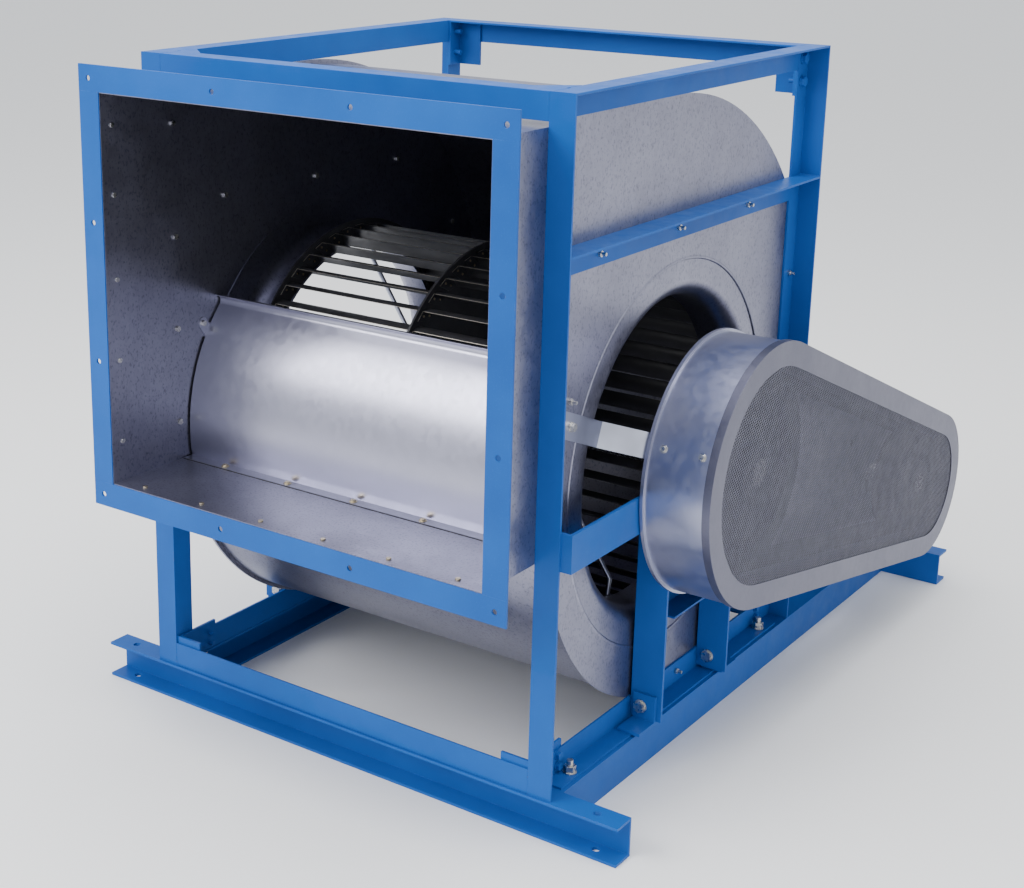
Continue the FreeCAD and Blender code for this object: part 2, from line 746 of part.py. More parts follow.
# ---------------------------------------------------------------- belt drive
def pulley(cy, cz, r, bore_r):
    """Three-groove pulley with a solid web and split hub."""
    half = 32.0
    body = rod("x", cy, cz, r, PULLEY_X - half, PULLEY_X + half)
    for k in (-1, 0, 1):
        x = PULLEY_X + k * BELT_PITCH
        profile = [(x - 8.8, r + 1.0), (x + 8.8, r + 1.0), (x + 6.2, r - 17.0), (x - 6.2, r - 17.0)]
        corners = [V(a, cy, cz + b) for a, b in profile]
        ring = Part.Face(Part.makePolygon(corners + corners[:1])).revolve(V(0, cy, cz), V(1, 0, 0), 360.0)
        body = body.cut(ring)
    recess = r - 38.0
    for x0, x1 in ((PULLEY_X + 10.0, PULLEY_X + half + 1.0), (PULLEY_X - half - 1.0, PULLEY_X - 10.0)):
        body = body.cut(tube("x", cy, cz, recess, bore_r + 26.0, x0, x1))
    return body.cut(rod("x", cy, cz, bore_r, PULLEY_X - 60.0, PULLEY_X + 60.0))


def tangent_angles(r1, r2):
    dy = MOTOR_Y - SHAFT_Y
    dz = MOTOR_Z - SHAFT_Z
    tilt = math.atan2(dz, dy)
    spread = math.acos((r1 - r2) / math.hypot(dy, dz))
    return tilt, tilt + spread, tilt - spread


def teardrop(r1, r2, x):
    """Closed wire round the two shaft axes, radius r1 at the fan and r2 at the motor."""
    tilt, up, low = tangent_angles(r1, r2)

    def at(cy, cz, r, a):
        return V(x, cy + r * math.cos(a), cz + r * math.sin(a))

    p1 = at(SHAFT_Y, SHAFT_Z, r1, up)
    p2 = at(MOTOR_Y, MOTOR_Z, r2, up)
    p3 = at(MOTOR_Y, MOTOR_Z, r2, tilt)
    p4 = at(MOTOR_Y, MOTOR_Z, r2, low)
    p5 = at(SHAFT_Y, SHAFT_Z, r1, low)
    p6 = at(SHAFT_Y, SHAFT_Z, r1, tilt + math.pi)
    return Part.Wire([
        Part.makeLine(p1, p2),
        Part.Arc(p2, p3, p4).toShape(),
        Part.makeLine(p4, p5),
        Part.Arc(p5, p6, p1).toShape(),
    ])


def teardrop_plate(inset, x0, x1):
    face = Part.Face(teardrop(GUARD_R1 - inset, GUARD_R2 - inset, x0))
    return face.extrude(V(x1 - x0, 0, 0))


def belt(k):
    x = PULLEY_X + k * BELT_PITCH
    r1 = FAN_PULLEY_R + 1.0
    r2 = MOTOR_PULLEY_R + 1.0
    path = teardrop(r1, r2, x)
    start = path.Edges[0].valueAt(path.Edges[0].FirstParameter)
    tilt, up, low = tangent_angles(r1, r2)
    out = V(0, math.cos(up), math.sin(up))
    half_top = BELT_TOP / 2.0
    half_low = BELT_LOW / 2.0
    corners = [
        start + V(-half_top, 0, 0),
        start + V(half_top, 0, 0),
        start + V(half_low, 0, 0) - out * BELT_H,
        start + V(-half_low, 0, 0) - out * BELT_H,
    ]
    profile = Part.makePolygon(corners + corners[:1])
    return path.makePipeShell([profile], True, True)


def guard_back():
    plate = teardrop_plate(GUARD_T, GUARD_BACK_X, GUARD_BACK_X + GUARD_T)
    shaft_gap = rod("x", SHAFT_Y, SHAFT_Z, 40.0, GUARD_BACK_X - 1.0, GUARD_BACK_X + 3.0)
    slot = fuse([
        rod("x", MOTOR_Y - 30.0, MOTOR_Z, 34.0, GUARD_BACK_X - 1.0, GUARD_BACK_X + 3.0),
        rod("x", MOTOR_Y + 30.0, MOTOR_Z, 34.0, GUARD_BACK_X - 1.0, GUARD_BACK_X + 3.0),
        box(GUARD_BACK_X - 1.0, GUARD_BACK_X + 3.0, MOTOR_Y - 30.0, MOTOR_Y + 30.0,
            MOTOR_Z - 34.0, MOTOR_Z + 34.0),
    ])
    strap_slot = box(GUARD_BACK_X - 1.0, GUARD_BACK_X + 3.0, SHAFT_Y - GUARD_R1 - 2.0,
                     SHAFT_Y - GUARD_R1 + 9.0, SHAFT_Z - 24.0, SHAFT_Z + 24.0)
    return plate.cut(shaft_gap).cut(slot).cut(turned(strap_slot, -21.7))


def guard_wall():
    wall = teardrop_plate(0.0, GUARD_BACK_X, GUARD_FRONT_X)
    wall = wall.cut(teardrop_plate(GUARD_T, GUARD_BACK_X - 1.0, GUARD_FRONT_X + 1.0))
    bead = teardrop_plate(-5.0, GUARD_BACK_X - 1.5, GUARD_BACK_X + 5.0)
    bead = bead.cut(teardrop_plate(0.0, GUARD_BACK_X - 2.0, GUARD_BACK_X + 6.0))
    return fuse([wall, bead])


def guard_cover():
    skirt = teardrop_plate(-3.5, GUARD_FRONT_X - 13.0, GUARD_FRONT_X + GUARD_T)
    skirt = skirt.cut(teardrop_plate(0.0, GUARD_FRONT_X - 14.0, GUARD_FRONT_X))
    return skirt.cut(teardrop_plate(40.0, GUARD_FRONT_X - 1.0, GUARD_FRONT_X + 3.0))


def guard_mesh():
    return teardrop_plate(32.0, GUARD_FRONT_X - 1.2, GUARD_FRONT_X)


def guard_strap():
    """Bent strap from the casing side to the inside of the guard wall."""
    turn = math.radians(21.7)
    lean = V(0, math.sin(turn), math.cos(turn))

    def leaf(a, b, thick):
        up = lean * 22.0
        wire = Part.makePolygon([a - up, b - up, b + up, a + up, a - up])
        return Part.Face(wire).extrude(thick)

    start = V(SEAM_X, -668.0, 692.0)
    fold = V(SEAM_X, -551.0, 645.0)
    angle = math.radians(21.7)
    radius = GUARD_R1 - GUARD_T - 4.3
    rim = V(GUARD_BACK_X - 3.0, SHAFT_Y - radius * math.cos(angle), SHAFT_Z + radius * math.sin(angle))
    tail = V(PULLEY_X + 44.0, rim.y, rim.z)
    along_wall = V(0, -3.0 * math.cos(angle), 3.0 * math.sin(angle))
    return fuse([
        leaf(start, fold, V(3.0, 0, 0)),
        leaf(fold, rim, V(3.0, 0, 0)),
        leaf(V(rim.x, rim.y, rim.z), tail, along_wall),
    ])


def guard_screws():
    screws = []
    angle = 21.7
    for x in (490.0, 560.0):
        for place_angle in (angle, angle + 120.0, angle - 100.0):
            t = math.radians(place_angle)
            foot = V(x, SHAFT_Y - GUARD_R1 * math.cos(t), SHAFT_Z + GUARD_R1 * math.sin(t))
            out = V(0, -math.cos(t), math.sin(t))
            screws.append(fuse([
                Part.makeCylinder(7.0, 1.5, foot, out),
                Part.makeCylinder(5.0, 5.5, foot, out),
            ]))
    return screws


def make_drive():
    save("fan_pulley", pulley(SHAFT_Y, SHAFT_Z, FAN_PULLEY_R, SHAFT_R).cut(fan_shaft()))
    save("belts", [belt(k) for k in (-1, 0, 1)])
    save("guard_back", guard_back())
    save("guard_wall", guard_wall())
    save("guard_cover", guard_cover())
    save("guard_mesh", guard_mesh())
    save("guard_strap", guard_strap())
    save("guard_screws", guard_screws())


# ---------------------------------------------------------------- motor
def fin_outline(r_low, r_high, count, width):
    points = []
    for k in range(count):
        mid = 360.0 * k / count
        half_top = math.degrees(width / r_high) / 2.0
        half_low = math.degrees(width * 1.5 / r_low) / 2.0
        for radius, degrees in ((r_low, mid - half_low), (r_high, mid - half_top),
                                (r_high, mid + half_top), (r_low, mid + half_low)):
            t = math.radians(degrees)
            points.append((MOTOR_Y + radius * math.cos(t), MOTOR_Z + radius * math.sin(t)))
    return points


def motor_frame():
    body = prism("x", fin_outline(134.0, 154.0, 36, 4.0), 70.0, 400.0)
    feet = []
    for side in (-1.0, 1.0):
        y = MOTOR_Y + side * FOOT_SPREAD
        web = sorted((MOTOR_Y + side * 60.0, MOTOR_Y + side * 102.0))
        pads = sorted((y - side * 36.0, y + side * 30.0))
        feet.append(box(68.0, 382.0, pads[0], pads[1], RAIL_TOP_Z, RAIL_TOP_Z + 18.0))
        feet.append(box(80.0, 370.0, web[0], web[1], RAIL_TOP_Z, RAIL_TOP_Z + 70.0))
    core = rod("x", MOTOR_Y, MOTOR_Z, 118.0, 60.0, 410.0)
    pad = box(145.0, 295.0, MOTOR_Y - 62.0, MOTOR_Y + 62.0, MOTOR_Z + 100.0, MOTOR_Z + 156.0)
    shape = fuse([body, pad] + feet).cut(core)
    for x in RAIL_X:
        for side in (-1.0, 1.0):
            shape = shape.cut(rod("z", x, MOTOR_Y + side * FOOT_SPREAD, 7.0, RAIL_TOP_Z - 1.0, RAIL_TOP_Z + 19.0))
    return shape


def end_shield(x0, x1, boss_x0, boss_x1):
    shield = fuse([
        rod("x", MOTOR_Y, MOTOR_Z, 150.0, x0, x1),
        rod("x", MOTOR_Y, MOTOR_Z, 70.0, boss_x0, boss_x1),
    ])
    return shield.cut(rod("x", MOTOR_Y, MOTOR_Z, MOTOR_SHAFT_R + 4.0, x0 - 60.0, x1 + 60.0))


def cowl():
    shell = tube("x", MOTOR_Y, MOTOR_Z, 156.0, 154.0, -70.0, 70.0)
    cap = tube("x", MOTOR_Y, MOTOR_Z, 156.0, 112.0, -72.0, -70.0)
    grille = [tube("x", MOTOR_Y, MOTOR_Z, r + 3.0, r, -72.0, -70.0) for r in (24.0, 46.0, 68.0, 90.0)]
    spokes = []
    for k in range(8):
        bar = box(-72.0, -70.0, MOTOR_Y - 2.0, MOTOR_Y + 2.0, MOTOR_Z + 24.0, MOTOR_Z + 114.0)
        bar.rotate(V(0, MOTOR_Y, MOTOR_Z), V(1, 0, 0), 45.0 * k)
        spokes.append(bar)
    return fuse([shell, cap] + grille + spokes)


def cooling_fan():
    hub_part = tube("x", MOTOR_Y, MOTOR_Z, 40.0, MOTOR_SHAFT_R, -40.0, 10.0)
    plate = tube("x", MOTOR_Y, MOTOR_Z, 120.0, 38.0, 6.0, 10.0)
    vanes = []
    for k in range(9):
        vane = box(-36.0, 8.0, MOTOR_Y - 2.0, MOTOR_Y + 2.0, MOTOR_Z + 36.0, MOTOR_Z + 136.0)
        vane.rotate(V(0, MOTOR_Y, MOTOR_Z), V(1, 0, 0), 40.0 * k)
        vanes.append(vane)
    return fuse([hub_part, plate] + vanes)


def terminal_box():
    z0 = MOTOR_Z + 156.0
    shell = box(150.0, 290.0, MOTOR_Y - 58.0, MOTOR_Y + 58.0, z0, z0 + 44.0)
    hollow = box(154.0, 286.0, MOTOR_Y - 54.0, MOTOR_Y + 54.0, z0 + 4.0, z0 + 45.0)
    lid = box(146.0, 294.0, MOTOR_Y - 62.0, MOTOR_Y + 62.0, z0 + 44.0, z0 + 51.0)
    gland = fuse([
        rod("y", 220.0, z0 + 22.0, 12.0, MOTOR_Y + 58.0, MOTOR_Y + 78.0),
        hexagon("y", 220.0, z0 + 22.0, 25.0, MOTOR_Y + 58.0, MOTOR_Y + 68.0),
    ])
    gland = gland.cut(rod("y", 220.0, z0 + 22.0, 8.0, MOTOR_Y + 57.0, MOTOR_Y + 79.0))
    return [shell.cut(hollow), lid, gland]


def slide_rail(x):
    """Open steel rail under the motor feet, with a T slot and a lug for the adjusting screw."""
    z0 = BASE_H
    shape = box(x - 30.0, x + 30.0, RAIL_Y0, RAIL_Y1, z0, RAIL_TOP_Z)
    shape = shape.cut(box(x - 22.0, x + 22.0, RAIL_Y0 + 24.0, RAIL_Y1 - 24.0, z0 - 1.0, RAIL_TOP_Z - 10.0))
    shape = shape.cut(box(x - 7.2, x + 7.2, RAIL_Y0 + 34.0, RAIL_Y1 - 10.0, z0 - 1.0, RAIL_TOP_Z + 1.0))
    lug = box(x - 16.0, x + 16.0, RAIL_Y0, RAIL_Y0 + 18.0, RAIL_TOP_Z, RAIL_TOP_Z + 26.0)
    return fuse([shape, lug]).cut(rod("y", x, RAIL_TOP_Z + 10.0, 6.5, RAIL_Y0 - 1.0, RAIL_Y0 + 19.0))


def adjusting_screw(x):
    """Screw pushing on a motor foot; it slides through the lug of the rail."""
    foot = MOTOR_Y - FOOT_SPREAD - 30.0
    return fuse([
        rod("y", x, RAIL_TOP_Z + 10.0, 6.0, RAIL_Y0 - 34.0, foot),
        hexagon("y", x, RAIL_TOP_Z + 10.0, 16.0, foot - 9.0, foot),
    ])


def motor_bolts():
    bolts = []
    for x in RAIL_X:
        for side in (-1.0, 1.0):
            y = MOTOR_Y + side * FOOT_SPREAD
            bolts.append(fuse([
                bolt("z", x, y, RAIL_TOP_Z + 18.0, 1, 6.0, 18.0, 8.0, 40.0),
                box(x - 13.0, x + 13.0, y - 13.0, y + 13.0, RAIL_TOP_Z - 19.0, RAIL_TOP_Z - 10.5),
            ]))
    return bolts


def make_motor():
    end = PULLEY_X + 34.0
    shaft = rod("x", MOTOR_Y, MOTOR_Z, MOTOR_SHAFT_R, -44.0, end)
    save("motor_frame", motor_frame())
    save("motor_shields", [
        end_shield(400.0, 418.0, 400.0, 446.0),
        end_shield(54.0, 70.0, 40.0, 70.0),
    ])
    save("motor_cowl", cowl())
    save("motor_terminal_box", terminal_box())
    save("motor_shaft", fuse([shaft, rod("x", MOTOR_Y, MOTOR_Z, 90.0, 120.0, 350.0)]))
    save("motor_fan", cooling_fan())
    save("motor_pulley", pulley(MOTOR_Y, MOTOR_Z, MOTOR_PULLEY_R, MOTOR_SHAFT_R))
    save("slide_rails", [slide_rail(x) for x in RAIL_X])
    save("adjusting_screws", [adjusting_screw(x) for x in RAIL_X])
    save("motor_bolts", motor_bolts())


# ---------------------------------------------------------------- fasteners
def through_bolt(y, z, head_x, nut_x, r, flats):
    """Bolt along X through casing and angle, head inside, nut and thread end outside."""
    return fuse([
        hexagon("x", y, z, flats, head_x - flats * 0.4, head_x),
        rod("x", y, z, r, head_x, nut_x + flats * 0.5 + 8.0),
        hexagon("x", y, z, flats, nut_x, nut_x + flats * 0.5),
    ])


def casing_bolts():
    inside = SEAM_X - SHEET
    outside = SEAM_X + LEG_T
    places = [(y, MID_Z - 25.0) for y in (-578.0, -314.0, -50.0)]
    places += [(FRONT_Y + 24.0, z) for z in (551.0, 727.0, 897.0, 1100.0)]
    places += [(REAR_Y - 24.0, 789.0), (-230.0, 98.0)]
    bolts = [through_bolt(y, z, inside, outside, 3.0, 10.0) for y, z in places]
    bolts.append(through_bolt(CUTOFF_EAR[0], CUTOFF_EAR[1], inside - SHEET, SEAM_X, 3.0, 10.0))
    strap_bolt = bolt("x", -643.0, 682.0, SEAM_X + 3.0, 1, 4.0, 13.0, 5.5, 12.0)
    return both_sides(bolts) + [strap_bolt]


def outlet_screws():
    screws = []
    for z in (552.0, 700.0, 845.0, 993.0, 1113.0):
        screws += both_sides([rod("x", -858.0, z, 4.5, SEAM_X - SHEET - 2.5, SEAM_X - SHEET)])
    for x in (-335.0, -201.0, -67.0, 67.0, 201.0, 335.0):
        screws.append(rod("z", x, -863.0, 4.5, DUCT_FLOOR_Z + SHEET, DUCT_FLOOR_Z + SHEET + 2.5))
    top = DUCT_FLOOR_Z + 2.0 * SHEET
    for x in (-296.0, -148.0, 0.0, 148.0, 296.0):
        screws.append(fuse([
            rod("z", x, -697.0, 7.5, top, top + 1.2),
            rod("z", x, -697.0, 4.8, top, top + 4.0),
        ]))
    return screws


def frame_bolts():
    """M12 bolts of the supports and base, and the smaller bolts of the corner brackets."""
    bolts = [
        bolt("y", 421.0, 104.0, UPRIGHT_Y[0] - BEAM_T, -1, 6.0, 19.0, 7.5, 24.0),
        bolt("y", 421.0, 104.0, UPRIGHT_Y[1], -1, 6.0, 19.0, 7.5, 24.0),
    ]
    for y in (-636.0, 88.0):
        bolts.append(bolt("z", 415.0, y, BASE_H + LEG_T, 1, 6.0, 19.0, 11.0, 22.0))
        bolts.append(rod("z", 415.0, y, 6.0, BASE_H + LEG_T + 13.0, BASE_H + LEG_T + 23.0))
    return both_sides(bolts)


def bracket_bolts():
    bolts = []
    for z in (1156.0, 1199.0):
        bolts.append(bolt("x", REAR_Y - 27.0, z, SEAM_X + LEG_T, 1, 5.0, 17.0, 6.5, 24.0))
    for y in (-650.0, 108.0):
        for z in (86.0, 106.0):
            bolts.append(bolt("x", y, z, SEAM_X + LEG_T, 1, 4.0, 13.0, 5.5, 20.0))
    return both_sides(bolts)


def make_fasteners():
    save("casing_bolts", casing_bolts())
    save("outlet_screws", outlet_screws())
    save("frame_bolts", frame_bolts())
    save("bracket_bolts", bracket_bolts())


def main():
    os.makedirs("parts", exist_ok=True)
    make_base()
    make_frame()
    make_supports()
    make_casing()
    make_flange()
    make_wheel()
    make_bearings()
    make_drive()
    make_motor()
    make_fasteners()
    write_nodes()


main()
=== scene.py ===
import json
import math
import random

import bmesh
import bpy
from mathutils import Matrix, Vector


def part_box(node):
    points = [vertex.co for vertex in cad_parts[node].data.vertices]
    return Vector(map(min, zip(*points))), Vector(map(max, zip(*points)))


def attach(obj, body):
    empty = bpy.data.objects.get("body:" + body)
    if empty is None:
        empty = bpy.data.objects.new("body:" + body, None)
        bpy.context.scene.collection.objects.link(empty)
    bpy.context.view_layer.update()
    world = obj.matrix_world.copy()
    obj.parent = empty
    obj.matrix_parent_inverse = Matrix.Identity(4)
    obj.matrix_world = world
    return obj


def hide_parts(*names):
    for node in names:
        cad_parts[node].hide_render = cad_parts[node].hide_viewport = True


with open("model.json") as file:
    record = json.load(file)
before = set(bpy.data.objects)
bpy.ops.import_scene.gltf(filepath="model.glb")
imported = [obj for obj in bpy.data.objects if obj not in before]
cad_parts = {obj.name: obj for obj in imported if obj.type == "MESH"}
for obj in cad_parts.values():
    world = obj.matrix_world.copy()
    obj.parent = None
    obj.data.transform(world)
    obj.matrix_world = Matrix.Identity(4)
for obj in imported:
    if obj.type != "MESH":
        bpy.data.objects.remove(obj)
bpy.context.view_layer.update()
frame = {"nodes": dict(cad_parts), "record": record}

# Metres, +Z up.  +X is the belt-drive side, -Y is the outlet, the origin is on the floor.

MM = 0.001
SHEET = 1.5 * MM
ANGLE_LEG = 45.0 * MM
ANGLE_WALL = 4.0 * MM
SMOOTH_ANGLE = math.radians(35.0)
BEVEL_ANGLE = math.radians(50.0)

CAMERA_AT = (1.74125, -2.92915, 1.54553)
CAMERA_AZIMUTH = math.radians(36.37)
CAMERA_ELEVATION = math.radians(15.88)
CAMERA_ROLL = math.radians(0.54)
CAMERA_LENS = 61.34
CAMERA_SHIFT = (0.1094, -0.0850)

BODY_OF = {node: body for body, nodes in frame["record"]["behaviour"]["bodies"].items() for node in nodes}
SLOT_OF = {part["node"]: part["material_slot"] for part in frame["record"]["subparts"]}
JOINTS = {joint["name"]: joint for joint in frame["record"]["behaviour"]["joints"]}
FAN = Vector(JOINTS["fan_spin"]["pos_m"])
MOTOR = Vector(JOINTS["motor_spin"]["pos_m"])
rng = random.Random(7)


# ------------------------------------------------------------------ materials
class Finish:
    """A node material with short calls for the textures that the finishes share."""

    def __init__(self, name, color, metallic=0.0, roughness=0.5):
        self.material = bpy.data.materials.new(name)
        self.material.use_nodes = True
        self.tree = self.material.node_tree
        self.shader = self.tree.nodes["Principled BSDF"]
        self.shader.inputs["Base Color"].default_value = (*color, 1.0)
        self.shader.inputs["Metallic"].default_value = metallic
        self.shader.inputs["Roughness"].default_value = roughness
        self.coords = self.tree.nodes.new("ShaderNodeTexCoord").outputs["Object"]
        self.normal = None

    def link(self, source, node, socket):
        self.tree.links.new(source, node.inputs[socket])

    def stretched(self, scale):
        node = self.tree.nodes.new("ShaderNodeMapping")
        node.inputs["Scale"].default_value = scale
        self.link(self.coords, node, "Vector")
        return node.outputs["Vector"]

    def noise(self, scale, detail=3.0, rough=0.55, vector=None):
        node = self.tree.nodes.new("ShaderNodeTexNoise")
        node.inputs["Scale"].default_value = scale
        node.inputs["Detail"].default_value = detail
        node.inputs["Roughness"].default_value = rough
        self.link(vector or self.coords, node, "Vector")
        return node.outputs["Fac"]

    def cells(self, scale, vector=None):
        """Random grey for each crystal-like cell."""
        node = self.tree.nodes.new("ShaderNodeTexVoronoi")
        node.inputs["Scale"].default_value = scale
        self.link(vector or self.coords, node, "Vector")
        split = self.tree.nodes.new("ShaderNodeSeparateColor")
        self.link(node.outputs["Color"], split, "Color")
        return split.outputs["Red"]

    def remap(self, value, low, high, to_low, to_high):
        node = self.tree.nodes.new("ShaderNodeMapRange")
        limits = {"From Min": low, "From Max": high, "To Min": to_low, "To Max": to_high}
        for socket, number in limits.items():
            node.inputs[socket].default_value = number
        self.link(value, node, "Value")
        return node.outputs["Result"]

    def combine(self, operation, a, b):
        node = self.tree.nodes.new("ShaderNodeMath")
        node.operation = operation
        for index, value in enumerate((a, b)):
            if isinstance(value, float):
                node.inputs[index].default_value = value
            else:
                self.tree.links.new(value, node.inputs[index])
        return node.outputs["Value"]

    def mix(self, factor, a, b):
        node = self.tree.nodes.new("ShaderNodeMix")
        node.data_type = "RGBA"
        self.tree.links.new(factor, node.inputs["Factor"])
        for socket, value in ((node.inputs[6], a), (node.inputs[7], b)):
            if isinstance(value, tuple):
                socket.default_value = (*value, 1.0)
            else:
                self.tree.links.new(value, socket)
        return node.outputs[2]

    def edges(self, radius):
        """1 along convex edges, 0 on flat faces."""
        bevel = self.tree.nodes.new("ShaderNodeBevel")
        bevel.samples = 4
        bevel.inputs["Radius"].default_value = radius
        flat = self.tree.nodes.new("ShaderNodeNewGeometry")
        dot = self.tree.nodes.new("ShaderNodeVectorMath")
        dot.operation = "DOT_PRODUCT"
        self.link(bevel.outputs["Normal"], dot, 0)
        self.link(flat.outputs["Normal"], dot, 1)
        return self.remap(dot.outputs["Value"], 0.995, 0.80, 0.0, 1.0)

    def color(self, source):
        self.link(source, self.shader, "Base Color")

    def roughness(self, source):
        self.link(source, self.shader, "Roughness")

    def bump(self, height, distance, strength=1.0):
        node = self.tree.nodes.new("ShaderNodeBump")
        node.inputs["Distance"].default_value = distance
        node.inputs["Strength"].default_value = strength
        self.link(height, node, "Height")
        if self.normal is not None:
            self.link(self.normal, node, "Normal")
        self.normal = node.outputs["Normal"]
        self.link(self.normal, self.shader, "Normal")


def enamel(name, deep, light, chip):
    """Sprayed machine enamel: drifting tone, orange peel, lighter blue along the edges that is partly rubbed
    paint and partly a painted edge highlight, and a few chips.
    """
    paint = Finish(name, light, roughness=0.42)
    paint.shader.inputs["Specular IOR Level"].default_value = 0.14
    drift = paint.remap(paint.noise(3.2, 4.0, 0.6), 0.32, 0.68, 0.0, 1.0)
    body = paint.mix(drift, deep, light)
    dust = paint.remap(paint.noise(420.0, 2.0), 0.60, 0.75, 0.0, 0.14)
    body = paint.mix(dust, body, tuple(min(1.0, c * 1.6 + 0.02) for c in light))
    rim = paint.edges(1.6 * MM)
    # Lighter blue on convex edges, mottled by noise: partly rubbed paint, partly a painted edge highlight.
    rub_and_edge_highlight = paint.combine("MULTIPLY", rim, paint.remap(paint.noise(55.0, 4.0, 0.7), 0.48, 0.72, 0.0, 0.55))
    body = paint.mix(rub_and_edge_highlight, body, tuple(min(1.0, c * 1.7 + 0.05) for c in light))
    nick = paint.combine("MULTIPLY", rim, paint.remap(paint.noise(150.0, 2.0, 0.5), 0.66, 0.70, 0.0, 1.0))
    paint.color(paint.mix(nick, body, chip))
    paint.roughness(paint.remap(paint.noise(26.0, 4.0, 0.6), 0.3, 0.7, 0.30, 0.46))
    paint.bump(paint.noise(520.0, 2.0), 0.04 * MM, 0.35)
    paint.bump(paint.noise(24.0, 2.0), 0.25 * MM, 0.25)
    return paint.material


def zinc_sheet(name, dark, light, speck, flecks, rough_low, rough_high, waviness):
    """Hot-dip zinc sheet: faint crystals, short dark flecks, clouds and slightly uneven panels."""
    sheet = Finish(name, light, metallic=0.95, roughness=0.4)
    crystal = sheet.cells(90.0, sheet.stretched((1.0, 1.0, 0.75)))
    cloud = sheet.noise(4.0, 3.0, 0.55)
    tone = sheet.combine("ADD", sheet.combine("MULTIPLY", crystal, 0.35),
                         sheet.combine("MULTIPLY", sheet.remap(cloud, 0.3, 0.7, 0.0, 1.0), 0.65))
    body = sheet.mix(tone, dark, light)
    fleck = sheet.noise(230.0, 2.0, 0.6, sheet.stretched((1.0, 1.0, 0.70)))
    body = sheet.mix(sheet.remap(fleck, 0.54, 0.68, 0.0, flecks), body, speck)
    sheet.color(body)
    gloss = sheet.combine("ADD", sheet.remap(crystal, 0.0, 1.0, -0.03, 0.03),
                          sheet.remap(sheet.noise(9.0, 3.0, 0.55), 0.3, 0.7, rough_low, rough_high))
    sheet.roughness(gloss)
    sheet.bump(sheet.noise(3.0, 1.0), waviness, 0.4)
    return sheet.material


def plain_metal(name, color, roughness, grain, spread=0.10, metallic=1.0):
    """Bare or plated metal with a fine grain and slightly uneven gloss."""
    metal = Finish(name, color, metallic=metallic, roughness=roughness)
    shade = metal.remap(metal.noise(grain, 3.0, 0.6), 0.35, 0.65, 0.0, 1.0)
    metal.color(metal.mix(shade, tuple(c * 0.78 for c in color), tuple(min(1.0, c * 1.12) for c in color)))
    gloss = metal.noise(grain * 0.5, 3.0)
    metal.roughness(metal.remap(gloss, 0.3, 0.7, roughness - spread, roughness + spread))
    metal.bump(metal.noise(grain * 2.0, 2.0), 0.03 * MM, 0.4)
    return metal.material


def coarse_paint(name, color, roughness, metallic=0.0, grain=160.0, height=0.2):
    """Paint over a rough casting or a dark satin coat, with dusty high spots and bare edges."""
    coat = Finish(name, color, metallic=metallic, roughness=roughness)
    drift = coat.remap(coat.noise(9.0, 4.0, 0.6), 0.3, 0.7, 0.0, 1.0)
    body = coat.mix(drift, tuple(c * 0.75 for c in color), tuple(min(1.0, c * 1.25) for c in color))
    dust = coat.remap(coat.noise(grain, 3.0, 0.65), 0.58, 0.78, 0.0, 0.35)
    body = coat.mix(dust, body, tuple(min(1.0, c + 0.05) for c in color))
    worn = coat.remap(coat.noise(70.0, 3.0), 0.42, 0.66, 0.10, 0.60)
    bare = coat.combine("MULTIPLY", coat.edges(1.2 * MM), worn)
    coat.color(coat.mix(bare, body, (0.30, 0.29, 0.28)))
    coat.roughness(coat.remap(coat.noise(30.0, 3.0), 0.3, 0.7, roughness - 0.08, roughness + 0.10))
    coat.bump(coat.noise(grain * 1.6, 3.0), height * MM, 0.3)
    return coat.material


def rubber(name):
    """Dull belt rubber with chalky dust."""
    stuff = Finish(name, (0.018, 0.018, 0.018), roughness=0.62)
    dust = stuff.remap(stuff.noise(120.0, 4.0, 0.7), 0.5, 0.8, 0.0, 0.5)
    stuff.color(stuff.mix(dust, (0.014, 0.014, 0.014), (0.07, 0.07, 0.068)))
    stuff.roughness(stuff.remap(stuff.noise(60.0, 3.0), 0.3, 0.7, 0.5, 0.75))
    stuff.bump(stuff.noise(900.0, 2.0), 0.05 * MM, 0.5)
    return stuff.material


